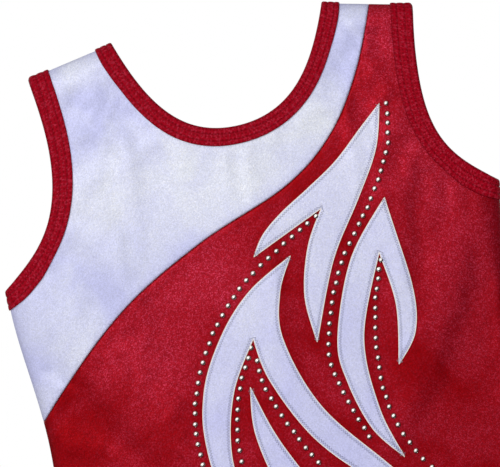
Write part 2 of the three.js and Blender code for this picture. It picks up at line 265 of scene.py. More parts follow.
def plain_knit(name, colour, shade, rib, roughness, fleck=None):
    """A matt knit or thread with ribs about this wide, in metres, and painted shade in its creases."""
    made, tree, shader, flat = cloth_finish(name)
    ribs = add(tree, "ShaderNodeTexWave", {"Vector": flat, "Scale": 1 / rib / WAVE,
                                           "Distortion": 1.5, "Detail": 1.0}, bands_direction="X")
    wales = add(tree, "ShaderNodeTexWave", {"Vector": flat, "Scale": 1 / rib / WAVE,
                                            "Distortion": 1.0, "Detail": 1.0}, bands_direction="Y")
    mixed = add(tree, "ShaderNodeMath", {0: ribs.outputs["Fac"], 1: wales.outputs["Fac"]},
                operation="MULTIPLY")
    base = add(tree, "ShaderNodeMix", {"Factor": mixed.outputs[0], "A": linear(colour),
                                       "B": linear(shade)}, data_type="RGBA").outputs["Result"]
    if fleck:
        loops = add(tree, "ShaderNodeMapping", {"Vector": flat, "Scale": (1.0, 0.6, 1.0)})
        dots = add(tree, "ShaderNodeTexVoronoi", {"Vector": loops.outputs[0], "Scale": 1 / FLECK})
        spread = add(tree, "ShaderNodeSeparateColor", {0: dots.outputs["Color"]})
        share = add(tree, "ShaderNodeMapRange", {0: spread.outputs[0], 1: 0.6, 2: 1.0,
                                                 3: 0.0, 4: 0.4})
        base = add(tree, "ShaderNodeMix", {"Factor": share.outputs[0], "A": base,
                                           "B": linear(fleck)}, data_type="RGBA").outputs["Result"]
    # Painted shade: the colour darkens where the mark lies, in creases, stitch grooves and at edges.
    painted_shade = add(tree, "ShaderNodeAttribute", attribute_name="painted_shade")
    value = add(tree, "ShaderNodeMapRange", {0: painted_shade.outputs["Fac"], 3: 1.0, 4: 0.35})
    toned = add(tree, "ShaderNodeHueSaturation", {"Value": value.outputs[0], "Color": base})
    tree.links.new(toned.outputs[0], shader.inputs["Base Color"])
    shader.inputs["Roughness"].default_value = roughness
    shader.inputs["Specular IOR Level"].default_value = 0.04
    relief = add(tree, "ShaderNodeBump", {"Height": ribs.outputs["Fac"], "Strength": 0.2,
                                          "Distance": 0.0001})
    tree.links.new(relief.outputs[0], shader.inputs["Normal"])
    return made


# The binding is matt red, with dark ribs and a few bright flecks of foil, and painted shade in its
# creases and along its edges. Its thread is darker still. The cut edge is a bright cream line. The
# pale thread almost vanishes on the pearl cloth. The lining is a soft off-white with no gloss, the
# elastic has close white ribs, and the label is smooth.
red_binding = plain_knit("red_stretch_binding", "#960018", "#74000c", 0.0011, 0.6, "#c83a56")
tricot = plain_knit("lining_tricot", "#ece7df", "#d9d2c8", 0.0010, 0.8)
thread_red = plain_knit("red_polyester_thread", "#7c0410", "#64020c", 0.0006, 0.6)
cut_edge = plain_knit("cream_applique_backing", "#f6f0ea", "#e2dcd4", 0.0006, 0.7)
thread_pale = plain_knit("pale_polyester_thread", "#8e91a6", "#7a7d92", 0.0006, 0.6)
elastic_white = plain_knit("woven_elastic", "#eeebe4", "#d6d2c8", 0.0012, 0.7)
satin = plain_knit("woven_satin_label", "#f6f6f4", "#e6e6e4", 0.0008, 0.5)
matt = (red_binding, tricot, thread_red, cut_edge, thread_pale, elastic_white, satin)
print("matt knits and threads:", *(finish.name for finish in matt))

# %% Plated brass
WEAR = 0.0015  # metres


def bright_metal(name):
    """Pressed, plated brass: a bright dome with faint wear, and painted shade round its glued rim."""
    made, tree, shader = new_finish(name)
    spot = add(tree, "ShaderNodeTexCoord")
    wear = add(tree, "ShaderNodeTexNoise", {"Vector": spot.outputs["Object"], "Scale": 1 / WEAR,
                                            "Detail": 3.0})
    tone = add(tree, "ShaderNodeMix", {"Factor": wear.outputs["Fac"], "A": linear("#fbfaf8"),
                                       "B": linear("#cfccc8")}, data_type="RGBA")
    # Painted shade: near the rim the colour goes almost black, where the cloth would shade the stud.
    painted_shade = add(tree, "ShaderNodeAttribute", attribute_name="painted_shade")
    edged = add(tree, "ShaderNodeMix", {"Factor": painted_shade.outputs["Fac"], "A": tone.outputs["Result"],
                                        "B": linear("#2a1416")}, data_type="RGBA")
    tree.links.new(edged.outputs["Result"], shader.inputs["Base Color"])
    rough = add(tree, "ShaderNodeMapRange", {0: wear.outputs["Fac"], 1: 0.3, 2: 0.7,
                                             3: 0.08, 4: 0.18})
    tree.links.new(rough.outputs[0], shader.inputs["Roughness"])
    shader.inputs["Metallic"].default_value = 1.0
    return made


stud_metal = bright_metal("bright_plated_brass")
print(len(bpy.data.materials), "materials")

# %% [markdown]
# The form inside the cloth
#
# Every piece of the garment lies on one soft form, a little over 40 mm thick, as if the leotard
# were lightly filled. A place on it is given as on a flat paper pattern: how far across from the
# middle, how far up from the shoulder line, and on which face. The form turns that into a point in
# space. Past the shoulder, the side or the crotch fold the same sums carry on round the fold to the
# other face, so a strip of cloth may cross a fold without a break. Each piece could be shaped on its
# own instead, but on one shared form all their edges meet.

# %% Driving dimensions, in mm, as in the CAD model
CHEST_HALF = 146.0
WAIST_HALF = 138.0
HIP_HALF = 149.0
BODY_LENGTH = 545.0
WAIST_DROP = 222.0
ARM_DROP = 124.0
LEG_DROP = 388.0
CROTCH_HALF = 34.0
NECK_HALF = 62.0
NECK_DROP = 60.5
BACK_NECK_DROP = 118.0
STRAP_WIDTH = 52.0
SHOULDER_SLOPE = 0.21
SIDE_ROLL = 10.0
TOP_ROLL = 9.0
SHOULDER_DEPTH = 8.0
CROWN_RISE = 9.0
CROWN_AT_SHOULDER, CROWN_AT_CROTCH = 0.25, 0.2  # shares of the rise
LEAN = -4.0
LEAN_DROPS = (40, 160)  # the lean comes in between these
TILT = 0.03
FRONT, BACK = -1.0, 1.0
QUARTER = math.pi / 2
TOP_ARC = TOP_ROLL * QUARTER


# %% The form
def mix(a, b, share):
    return a + (b - a) * share


def ease(value, low, high):
    share = np.clip((value - low) / (high - low), 0, 1)
    return share * share * (3 - 2 * share)


def half_width(drop):
    above = mix(CHEST_HALF, WAIST_HALF, ease(drop, ARM_DROP, WAIST_DROP))
    below = mix(WAIST_HALF, HIP_HALF, ease(drop, WAIST_DROP, LEG_DROP))
    return np.where(drop < WAIST_DROP, above, below)


def form_depth(x, drop):
    in_chest, in_crotch = ease(drop, 0, ARM_DROP), ease(drop, LEG_DROP, BODY_LENGTH)
    edge = mix(mix(SHOULDER_DEPTH, SIDE_ROLL, in_chest), SHOULDER_DEPTH, in_crotch)
    crown = CROWN_RISE * mix(CROWN_AT_SHOULDER, 1, in_chest) * mix(1, CROWN_AT_CROTCH, in_crotch)
    across = np.clip(np.abs(x) / (half_width(drop) - SIDE_ROLL), 0, 1)
    return edge + crown * (1 - across ** 2)


def shoulder_line(x):
    return -SHOULDER_SLOPE * np.clip(np.abs(x) - NECK_HALF, 0, STRAP_WIDTH * 1.2)


reliefs = None  # how far the cloth of each face has moved out, once it has been simulated


def folds(across, up, face):
    """How far the cloth lies out from the form, from the four nearest places of its grid."""
    column = np.clip((across / side_reach(up) + 1) / 2, 0, 1) * columns
    row = np.clip(up / crotch_up, 0, 1) * rows
    i, j = np.minimum(column.astype(int), columns - 1), np.minimum(row.astype(int), rows - 1)
    a, b = column - i, row - j
    out = [(1 - a) * (1 - b) * grid[i, j] + a * (1 - b) * grid[i + 1, j]
           + (1 - a) * b * grid[i, j + 1] + a * b * grid[i + 1, j + 1] for grid in reliefs]
    return np.where(face < 0, out[0], out[1])


def on_form(across, up, face, out=0.0):
    """Points in mm for places on the flat pattern, out from the middle of the cloth."""
    given = [np.asarray(v, float) for v in (across, up, face, out)]
    across, up, face, out = np.broadcast_arrays(*given)
    down = -up
    drop = np.clip(down - TOP_ARC + TOP_ROLL - shoulder_line(across), 0, BODY_LENGTH)
    flat = half_width(drop) - SIDE_ROLL
    side = np.maximum(np.abs(across) - flat, 0) / SIDE_ROLL
    x = np.sign(across) * (np.minimum(np.abs(across), flat) + (SIDE_ROLL + out) * np.sin(side))
    ridge = shoulder_line(x)
    top = np.clip(1 - down / TOP_ARC, 0, None) * QUARTER  # how far round the shoulder fold
    length = BODY_LENGTH - 2 * TOP_ROLL + ridge
    end = np.clip((down - TOP_ARC - length) / TOP_ARC, 0, None) * QUARTER  # and the crotch fold
    z = ridge - TOP_ROLL - np.clip(down - TOP_ARC, 0, length)
    z = z + (TOP_ROLL + out) * (np.sin(top) - np.sin(end))
    y = face * (form_depth(x, drop) + out) * np.cos(side) * np.cos(top) * np.cos(end)
    aside, askew = LEAN * ease(-z, *LEAN_DROPS), TILT * x * ease(-z, 0, ARM_DROP)
    if reliefs:
        y = y + face * folds(across, up, face)
    return np.stack([x + aside, y, z + askew], axis=-1)


def to_flat(x, z):
    """The flat pattern's place for a point as it looks from straight in front."""
    x, z = np.asarray(x, float), np.asarray(z, float)
    ridge = shoulder_line(x)
    drop = ridge - z
    near = TOP_ROLL * np.arccos(np.clip(1 - drop / TOP_ROLL, -1, 1))
    down = np.where(drop < TOP_ROLL, near, TOP_ARC + drop - TOP_ROLL)
    end = TOP_ARC + BODY_LENGTH - 2 * TOP_ROLL + ridge
    rise = np.clip(1 - (z + BODY_LENGTH) / TOP_ROLL, 0, 1)
    down = np.where(rise > 0, end + TOP_ROLL * np.arcsin(rise), down)
    flat = half_width(-z) - SIDE_ROLL
    over = np.arcsin(np.clip((np.abs(x) - flat) / SIDE_ROLL, 0, 1))
    across = np.where(np.abs(x) < flat, x, np.sign(x) * (flat + SIDE_ROLL * over))
    return np.stack([across, -down], axis=-1)


middle = on_form(0, to_flat(0, -200)[1], FRONT)
print("front of the chest at", np.round(middle, 1), "mm")

# %% [markdown]
# Drawing the paper pattern
#
# Each outline is a few Bezier curves or a smooth curve through a few points, drawn as the garment
# looks from in front. The curves are then moved to the flat pattern and divided into equal steps.
# Moving a line sideways gives the inner edge of a binding, a row of stitches or a seam allowance.
# The outlines could be drawn in space at once, but only a flat pattern can be cut and measured.

# %% Lines
FINE = 200  # steps along a curve before it is divided evenly


def bezier(*corners):
    """Points on one Bezier curve, from four [x, z] corners."""
    a, b, c, d = (Vector((x, z)) for x, z in corners)
    return np.array(interpolate_bezier(a, b, c, d, FINE))


def through(points):
    """Points on a smooth curve through a few places."""
    p = np.array(points, float)
    spans = []
    for i in range(len(p) - 1):
        before, after = p[max(i - 1, 0)], p[min(i + 2, len(p) - 1)]
        a, b = p[i], p[i + 1]
        t = np.linspace(0, 1, FINE, endpoint=i == len(p) - 2)[:, None]
        spans.append(0.5 * (2 * a + (b - before) * t + (2 * before - 5 * a + 4 * b - after) * t ** 2
                            + (3 * a - before - 3 * b + after) * t ** 3))
    return np.concatenate(spans)


def lengths_along(line):
    return np.concatenate([[0], np.cumsum(np.linalg.norm(np.diff(line, axis=0), axis=1))])


def read_at(values, along, at):
    """What a table of values, known at some lengths along a line, says at other lengths."""
    return np.stack([np.interp(at, along, values[:, k]) for k in range(values.shape[1])], axis=1)


def evenly(line, step):
    """The same line in equal steps of about this length."""
    along = lengths_along(line)
    count = max(2, round(along[-1] / step) + 1)
    return read_at(line, along, np.linspace(0, along[-1], count))


def looped(line):
    """The line with its first point again at its end."""
    return np.concatenate([line, line[:1]])


def sideways(line):
    """The unit direction to the right of travel at each point of a flat line."""
    along = np.gradient(line, axis=0)
    along /= np.maximum(np.linalg.norm(along, axis=1), 1e-9)[:, None]
    return np.stack([along[:, 1], -along[:, 0]], axis=1)


def moved(line, by):
    return line + sideways(line) * by


def mirrored(line):
    return (line * [-1, 1])[::-1]


# %% The openings' edges
EDGE_STEP = 0.8


def neck_edge(drop, reach, near_shoulder):
    """From the right shoulder down round the neck to the left shoulder, on the flat pattern."""
    half = bezier((0, -drop), (reach * NECK_HALF, -drop),
                  (NECK_HALF + near_shoulder[0], near_shoulder[1]), (NECK_HALF, 0))
    whole = np.concatenate([mirrored(half), half[1:]])
    return evenly(to_flat(whole[:, 0], whole[:, 1]), EDGE_STEP)


strap_outer = NECK_HALF + STRAP_WIDTH
arm = bezier((strap_outer, shoulder_line(strap_outer)), (strap_outer - 14, -ARM_DROP * 0.72),
             (strap_outer + 7, -ARM_DROP * 0.84), (CHEST_HALF, -ARM_DROP))
arm_edge = evenly(to_flat(arm[:, 0], arm[:, 1]), EDGE_STEP)
arm_edges = [arm_edge, mirrored(arm_edge)]


def leg_edge(hip_reach, crotch_rise):
    """From the hip down to the crotch, on the flat pattern."""
    leg = bezier((HIP_HALF, -LEG_DROP), (hip_reach, -LEG_DROP),
                 (CROTCH_HALF + 1, crotch_rise - BODY_LENGTH), (CROTCH_HALF, -BODY_LENGTH))
    return evenly(to_flat(leg[:, 0], leg[:, 1]), EDGE_STEP)


front_neck = neck_edge(NECK_DROP, 0.59, (-11, -NECK_DROP / 2))
back_neck = neck_edge(BACK_NECK_DROP, 1, (9, -BACK_NECK_DROP / 4))
front_leg = leg_edge(HIP_HALF * 0.66, 78)
back_leg = leg_edge(HIP_HALF * 0.86, 52)
for name, edge in (("front neck", front_neck), ("back neck", back_neck), ("arm", arm_edge)):
    print(name, "edge", round(lengths_along(edge)[-1]), "mm")

# %% The join of the yoke and the body
JOIN = [(-190, -262), (-138, -203), (-84, -153), (-32, -123),
        (23, -101), (53, -77), (74, -43), (89, -6)]
JOIN_STEP = 1.0
join = through(JOIN)
on_side = np.abs(join[:, 0]) < half_width(-join[:, 1])
join = join[on_side & (join[:, 1] < shoulder_line(join[:, 0]))]
join_edge = evenly(to_flat(join[:, 0], join[:, 1]), JOIN_STEP)
chest_ridge = shoulder_line(CHEST_HALF)
crotch_up = to_flat(0, -BODY_LENGTH)[1]


def side_reach(up, ridge=0.0):
    """How far across the flat pattern the side fold is, at a height below the shoulder's ridge."""
    drop = np.clip(-up - TOP_ARC + TOP_ROLL - ridge, 0, BODY_LENGTH)
    return half_width(drop) - SIDE_ROLL + SIDE_ROLL * QUARTER


def side_edge(top, bottom, step=3.0):
    """Down the left side fold, between two heights on the flat pattern."""
    up = np.linspace(top, bottom, max(2, round((top - bottom) / step)))
    return np.stack([side_reach(up, chest_ridge), up], axis=1)


join_edge[0][0] = -side_reach(join_edge[0][1], chest_ridge)  # it ends on the side fold
join_edge[-1][1] = 0.0  # and on the shoulder fold
print("the join is", round(lengths_along(join_edge)[-1]), "mm long")

# %% [markdown]
# How the cloth hangs
#
# A leotard on a hanger is held by its elastics and seams, and the cloth between them sags and
# buckles a little. So one plain sheet for each face is simulated as cloth. It is held at every
# opening and fold, is a little too big for its place, and hangs under its own weight. How far it
# moves out or in becomes a soft relief of the form, so every piece laid later shares its folds.
# Folds could be drawn as noise, but a simulation puts them where the weight and the seams would.

# %% Simulate the hanging cloth
HANG_CELL = 6.0  # mm
HANG_FRAMES = 40
HELD_WITHIN = 15.0  # mm of an opening or a fold
SLACK = 0.015  # by this share the cloth is too big for its place
FOLD_LIMIT = 1.6  # mm that it may move out or in


def tree_of(points):
    """A tree that finds the nearest of some flat points."""
    tree = KDTree(len(points))
    for i, (x, y) in enumerate(points):
        tree.insert((x, y, 0), i)
    tree.balance()
    return tree


def nearest(points, line):
    """How far each flat point is from a line."""
    tree = tree_of(line)
    return np.array([tree.find((x, y, 0))[2] for x, y in points])


def cells(bm, columns, rows):
    """A new grid in a bmesh, with the column and row of each of its points."""
    made = bmesh.ops.create_grid(bm, x_segments=columns, y_segments=rows, size=1.0)["verts"]
    share = (np.array([v.co[:2] for v in made]) + 1) / 2
    column, row = np.rint(share * [columns, rows]).astype(int).T
    return made, column, row


columns, rows = round(2 * CHEST_HALF / HANG_CELL), round(-crotch_up / HANG_CELL)


def hang():
    """How far the cloth of each face moves out, in mm, by column and row of a grid over it."""
    bm = bmesh.new()
    weight = bm.verts.layers.deform.verify()
    for face, edges in ((FRONT, [front_neck, front_leg, mirrored(front_leg)]),
                        (BACK, [back_neck, back_leg, mirrored(back_leg)])):
        made, i, j = cells(bm, columns, rows)
        up = crotch_up * j / rows
        across = (2 * i / columns - 1) * side_reach(up)
        to_edge = nearest(np.stack([across, up], axis=1), np.concatenate(edges + arm_edges))
        to_fold = np.minimum(side_reach(up) - np.abs(across), np.minimum(-up, up - crotch_up))
        held = np.minimum(to_edge, to_fold) < HELD_WITHIN
        for v, p, fixed in zip(made, on_form(across, up, face) * MM, held):
            v.co = p
            v[weight][0] = float(fixed)
    mesh = bpy.data.meshes.new("hanging_sheet")
    bm.to_mesh(mesh)
    bm.free()
    sheet = bpy.data.objects.new("hanging_sheet", mesh)
    sheet.vertex_groups.new(name="held")
    bpy.context.scene.collection.objects.link(sheet)
    hanging = sheet.modifiers.new("hanging", "CLOTH")
    hanging.point_cache.frame_end = HANG_FRAMES
    cloth = hanging.settings
    cloth.quality = 6
    cloth.mass = 0.02
    cloth.tension_stiffness = cloth.compression_stiffness = 8
    cloth.bending_stiffness = 0.02
    cloth.vertex_group_mass = "held"
    cloth.shrink_min = -SLACK
    for frame_number in range(1, HANG_FRAMES + 1):
        bpy.context.scene.frame_set(frame_number)
    hung = sheet.evaluated_get(bpy.context.evaluated_depsgraph_get()).data
    moved_out = np.array([(b.co.y - a.co.y) / MM for a, b in zip(mesh.vertices, hung.vertices)])
    bpy.context.scene.frame_set(1)
    bpy.data.objects.remove(sheet)
    grids = [np.zeros((columns + 1, rows + 1)) for _ in (FRONT, BACK)]
    for grid, face, sheet_out in zip(grids, (FRONT, BACK), moved_out.reshape(2, -1)):
        grid[i, j] = FOLD_LIMIT * np.tanh(face * sheet_out / FOLD_LIMIT)
    return grids


reliefs = hang()
if reliefs:
    print("the cloth moved", [round(float(np.ptp(grid)), 2) for grid in reliefs], "mm on each face")

# %% [markdown]
# Cutting cloth
#
# A cut piece starts as one outline in a bmesh, filled with triangles. The fill's long edges are
# split again and again, the triangles are turned to the best shape and the inner points relaxed,
# until the mesh is as fine as the cloth needs. It is finest along a seam, where the cloth rolls
# into a groove. Only then is it laid on the form and given its thickness. A plain grid trimmed to
# the outline would be quicker to make, but ragged along its edge.

# %% Cut, lay and thicken
SPLIT_OVER = 1.35  # times the length that an edge should have
FINE_WITHIN = 3.0  # mm of a seam
COARSER = 0.35  # mm of edge length for each mm further away
CUT_ROUNDS = 14  # at most


def put(bm, name, material, node=None):
    """Makes the object for a finished bmesh in mm, in place, riding on the root body."""
    bmesh.ops.scale(bm, vec=(MM, MM, MM), verts=bm.verts)
    mesh = bpy.data.meshes.new(name)
    for f in bm.faces:
        f.smooth = True
    bm.to_mesh(mesh)
    bm.free()
    piece = bpy.data.objects.new(name, mesh)
    mesh.materials.append(material)
    bpy.context.scene.collection.objects.link(piece)
    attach(piece, "root")
    if node:
        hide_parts(node)
    return piece


def closed_outline(lines, step):
    """One outline from lines laid end to end, joined by straight lines where they don't meet."""
    whole = []
    for line, after in zip(lines, lines[1:] + lines[:1]):
        whole.append(evenly(line, step)[:-1])
        whole.append(evenly(np.array([line[-1], after[0]]), step)[:-1])
    whole = np.concatenate(whole)
    apart = np.linalg.norm(whole - np.roll(whole, 1, axis=0), axis=1)
    return whole[apart > step / 4]


def cut(outline, spacing, seams=(), fine=1.2):
    """A flat bmesh inside an outline, with edges about a spacing long, and finer along seams."""
    tree = tree_of(np.concatenate(seams) if seams else [(1e6, 0)])
    bm = bmesh.new()
    corners = [bm.verts.new((x, y, 0)) for x, y in outline]
    rim = [bm.edges.new((a, b)) for a, b in zip(corners, corners[1:] + corners[:1])]
    bmesh.ops.triangle_fill(bm, edges=rim, use_beauty=True, use_dissolve=False)
    for _ in range(CUT_ROUNDS):
        long = []
        for e in bm.edges:
            if e.is_boundary:
                continue
            near = tree.find((e.verts[0].co + e.verts[1].co) / 2)[2]
            if e.calc_length() > SPLIT_OVER * min(spacing, fine + COARSER * max(near - FINE_WITHIN, 0)):
                long.append(e)
        if not long:
            break
        bmesh.ops.subdivide_edges(bm, edges=long, cuts=1)
        bmesh.ops.triangulate(bm, faces=[f for f in bm.faces if len(f.verts) > 3])
        inner = [e for e in bm.edges if not e.is_boundary]
        bmesh.ops.beautify_fill(bm, faces=bm.faces[:], edges=inner)
        free = [v for v in bm.verts if not v.is_boundary]
        bmesh.ops.smooth_vert(bm, verts=free, factor=0.5, use_axis_x=True, use_axis_y=True,
                              use_axis_z=False)
    return bm


def flat_of(bm):
    """The flat places of a bmesh's points."""
    return np.array([v.co[:2] for v in bm.verts])


def map_flat(bm):
    """Keeps the flat pattern as the cloth's map, in metres."""
    layer = bm.loops.layers.uv.new("cloth")
    for f in bm.faces:
        for corner in f.loops:
            corner[layer].uv = (corner.vert.co.x * MM, corner.vert.co.y * MM)


def move_to(verts, points):
    for v, p in zip(verts, points):
        v.co = p


def mark(bm, name, values):
    """Keeps a number for each point, for the finish to read."""
    layer = bm.verts.layers.float.new(name)
    for v, value in zip(bm.verts, values):
        v[layer] = value


def lay(bm, face, top, thickness, loose_and_sheen=None):
    """Lays cut cloth on the form, its outer side at an offset for each point, and thickens it."""
    map_flat(bm)
    flat = flat_of(bm)
    # The looseness, which carries painted sheen and shade, is kept for the finish to read.
    if loose_and_sheen is not None:
        mark(bm, "loose_and_sheen", loose_and_sheen)
    move_to(bm.verts, on_form(flat[:, 0], flat[:, 1], face, top))
    bm.normal_update()
    if sum(f.normal.y * f.calc_area() for f in bm.faces) * face < 0:
        bmesh.ops.reverse_faces(bm, faces=bm.faces)
    bmesh.ops.solidify(bm, geom=bm.faces[:], thickness=thickness)


# %% [markdown]
# The three main panels
#
# The yoke and the body meet at the join, which curves from the wearer's right side to the left
# strap. Both are cut to it exactly. The seam pulls their edges down into a fine groove, and each
# panel puffs a little beside it. The back is one panel with a deep scoop. Inside each binding the
# panels stop short of the elastic. The join could be a line in the finish of one panel, but two
# panels show a true seam from every side.

# %% Outlines of the panels
CLOTH = 0.8
GAP = 0.3
HALF_JOIN_GAP = 0.1
BINDING_WIDTH = 10.5  # at the neck and the legs
ARM_BINDING_WIDTH = 12.5
BINDING_CLOTH = 0.7
ELASTIC_WIDTH = 6.0
LINING_DROP = 330.0
GUSSET_LENGTH = 90.0
ALLOWANCE = 6.0
elastic_start = BINDING_CLOTH + GAP
panel_inset = elastic_start + ELASTIC_WIDTH + GAP
clear_of_binding = max(BINDING_WIDTH, ARM_BINDING_WIDTH) + GAP
on_cloth = CLOTH / 2 + GAP
lining_out = -(on_cloth + BINDING_CLOTH + GAP + 0.1)


def half_outline(leg, inset):
    """The wearer's left edge from the shoulder to the crotch, cut back from its openings."""
    arm_in, leg_in = moved(arm_edge, inset), moved(leg, inset)
    return [arm_in, side_edge(arm_in[-1][1], leg_in[0][1]), leg_in]


back_half = half_outline(back_leg, panel_inset)
back_outline = [moved(back_neck, panel_inset), *back_half, *map(mirrored, reversed(back_half))]
arm_in, left_side, leg_in = half_outline(front_leg, panel_inset)
join_up = join_edge[0][1]
above_side = side_edge(join_up, arm_in[-1][1]) * [-1, 1]
below_side = side_edge(leg_in[0][1], join_up) * [-1, 1]
yoke_outline = [moved(front_neck, panel_inset), moved(join_edge, -HALF_JOIN_GAP)[::-1], above_side,
                mirrored(arm_in)]
body_outline = [moved(join_edge, HALF_JOIN_GAP), arm_in, left_side, leg_in, mirrored(leg_in), below_side]


def twice_area(points):
    """Twice the area inside a flat outline, and less than 0 where it runs clockwise."""
    s, h = points[:, 0], points[:, 1]
    return np.sum(s * np.roll(h, -1) - h * np.roll(s, -1))


# %% The flames' outlines, each a few strokes from tip to tip
FLAMES = {
    "tall": [
        [(84, -65), (71, -77), (54, -93), (36, -105), (18, -116), (6, -126), (-1, -137)],
        [(-1, -137), (17, -129), (42, -118)],
        [(42, -118), (31, -138), (24, -166), (26, -193)],
        [(26, -193), (44, -149), (64, -117), (78, -91), (84, -65)],
    ],
    "right": [
        [(79, -120), (54, -151), (38, -194), (39, -220), (48, -249), (63, -269)],
        [(63, -269), (54, -238), (53, -196), (71, -150)],
        [(71, -150), (75, -182), (70, -216)],
        [(70, -216), (83, -199), (86, -171), (79, -120)],
    ],
    "left": [
        [(20, -141), (-7, -156), (-28, -178), (-44, -208), (-48, -245), (-38, -316)],
        [(-38, -316), (-32, -284), (-35, -246), (-27, -211), (-10, -183)],
        [(-10, -183), (-5, -209), (14, -247), (45, -281), (104, -338)],
        [(104, -338), (57, -276), (22, -231), (7, -188), (10, -161), (20, -141)],
    ],
    "inner": [
        [(-17, -210), (-19, -238), (-10, -277), (8, -325), (64, -392)],
        [(64, -392), (38, -332), (12, -281), (-7, -242), (-17, -210)],
    ],
}


def flat_stroke(points, step=1.0):
    line = through(points)
    return evenly(to_flat(line[:, 0], line[:, 1]), step)


flame_outlines = {name: closed_outline([flat_stroke(s) for s in strokes], 1.0)
                  for name, strokes in FLAMES.items()}
print("flame outlines", {name: len(line) for name, line in flame_outlines.items()}, "points")

# %% Yoke, body and back
left_seam = side_edge(arm_edge[-1][1], front_leg[0][1], 1.0)
side_seams = [left_seam, mirrored(left_seam)]
neck_end, arm_end = front_neck[-1][0], arm_edge[0][0]
left_ridge = evenly(np.array([[neck_end, 0.0], [arm_end, 0.0]]), 1.0)
shoulder_seams = [left_ridge, mirrored(left_ridge)]
DIP, DIP_WIDTH = 0.6, 0.6
PUFF, PUFF_AWAY, PUFF_WIDTH = 0.15, 3.6, 2.6


def seam_roll(flat, seams):
    """How cloth dips into a seam and puffs beside it, in mm."""
    away = nearest(flat, np.concatenate(seams))
    return -DIP * np.exp(-(away / DIP_WIDTH) ** 2) + PUFF * np.exp(-((away - PUFF_AWAY) / PUFF_WIDTH) ** 2)


# Where the cloth lies loose, with painted sheen, or tight, with painted shade, if less than 0, as
# (across, up, reach in mm, amount).
LOOSE_AND_SHEEN = {
    "yoke_cloth": [(0, -88, 42, 0.4), (-70, -92, 32, 0.3), (53, -72, 22, 0.35),
                   (-112, -166, 24, 0.3), (-88, -10, 11, 0.5), (-82, -42, 32, -0.3),
                   (-85, -128, 26, -0.3), (70, -36, 22, -0.4), (-138, -165, 12, -0.3)],
    "body_cloth": [(-32, -146, 26, 0.55), (-75, -178, 28, 0.45), (97, -24, 22, 0.5),
                   (96, -86, 24, 0.35), (112, -140, 36, 0.3), (-125, -215, 40, -0.35),
                   (105, -255, 40, -0.15)],
    "back_cloth": [(-60, -190, 50, 0.4), (70, -260, 60, 0.4), (0, -360, 60, -0.2),
                   (30, -470, 40, 0.3)],
}
PLAIN_LOOSE_AND_SHEEN = 0.42  # far from any stitches
# Near the stitches the foil is drawn deeper, partly as tight foil and partly as painted shade.
STITCHED_TIGHT_AND_SHADE, TIGHT_AND_SHADE_WITHIN = 0.3, 5.0  # less at the stitches, and mm over which that fades


def looseness_and_sheen(name, flat, lines):
    """From 0, tight near stitches and in painted shade, to 1, loose and in painted sheen."""
    tight_and_shade = np.exp(-nearest(flat, np.concatenate(lines)) / TIGHT_AND_SHADE_WITHIN)
    amount = PLAIN_LOOSE_AND_SHEEN - STITCHED_TIGHT_AND_SHADE * tight_and_shade
    for across, up, reach, more in LOOSE_AND_SHEEN[name]:
        amount += more * np.exp(-((flat[:, 0] - across) ** 2 + (flat[:, 1] - up) ** 2) / reach ** 2)
    return amount


def panel(name, node, outline, face, material, seams, lines):
    """One main panel, cut, rolled into its seams and laid on the form."""
    edge = closed_outline(outline, 2.0)
    bm = cut(edge, 4.0, seams)
    flat = flat_of(bm)
    lay(bm, face, seam_roll(flat, seams) + CLOTH / 2, CLOTH, looseness_and_sheen(name, flat, lines))
    piece = put(bm, name, material, node)


seams = [join_edge, *side_seams, *shoulder_seams]
panel("yoke_cloth", "front_yoke_panel", yoke_outline, FRONT, pearl_foil,
      seams, [*seams, *arm_edges, front_neck])
panel("body_cloth", "front_body_panel", body_outline, FRONT, red_foil,
      seams, [*seams, *arm_edges, front_leg, mirrored(front_leg), *flame_outlines.values()])
seams = [*side_seams, *shoulder_seams]
panel("back_cloth", "back_panel", back_outline, BACK, red_foil,
      seams, [*seams, *arm_edges, back_neck, back_leg, mirrored(back_leg)])

# %% [markdown]
# The linings
#
# A leotard of this kind has a soft tricot lining behind the front, down to below the waist, and a
# second one in the crotch. They lie just inside the front and stop short of the seams, so they are
# cut from the same edges, moved further in. The front could do without, but the lining is what is
# seen through the neck.

# %% Front and crotch linings
MARGIN = 4.0  # mm clear of each fold
CHEST_UP = -150.0  # the height on the flat at which the side fold is read


def inside(line, low=-1e9, high=-MARGIN):
    """The part of a line that is clear of the folds and between two heights."""
    clear = np.abs(line[:, 0]) < side_reach(CHEST_UP, chest_ridge) - MARGIN
    return line[clear & (line[:, 1] < high) & (line[:, 1] > low)]


def lining(name, node, lines):
    edge = closed_outline(lines, 3.0)
    bm = cut(edge, 6.0)
    lay(bm, FRONT, lining_out, CLOTH)
    piece = put(bm, name, tricot, node)


arm_in, leg_in = moved(arm_edge, clear_of_binding), moved(front_leg, clear_of_binding)
hem_up = to_flat(0, -LINING_DROP)[1]
left_in = [inside(arm_in), side_edge(arm_in[-1][1] - MARGIN, hem_up) - [MARGIN, 0]]
gusset_up = to_flat(0, GUSSET_LENGTH - BODY_LENGTH)[1]
gusset_side = inside(leg_in, low=crotch_up + MARGIN, high=gusset_up)
lining("soft_front_lining", "front_lining",
       [inside(moved(front_neck, clear_of_binding)), *left_in, *map(mirrored, reversed(left_in))])
lining("soft_crotch_lining", "crotch_lining", [gusset_side, mirrored(gusset_side)])
print("front lining hem at", round(hem_up), "mm on the flat, crotch lining from", round(gusset_up))

# %% [markdown]
# Sewing lines and thread
#
# Thread is swept along a path as a thin closed tube: a grid bent round the path, as a hose would be
# wound from a sheet. A row of stitches is one such thread that swells at each stitch and thins at
# each needle hole. Where the cloth faces is read from the form, by asking for the same place a
# little further out. A bevelled curve could do the same, but a grid that is turned by the cloth's
# own facing never twists.

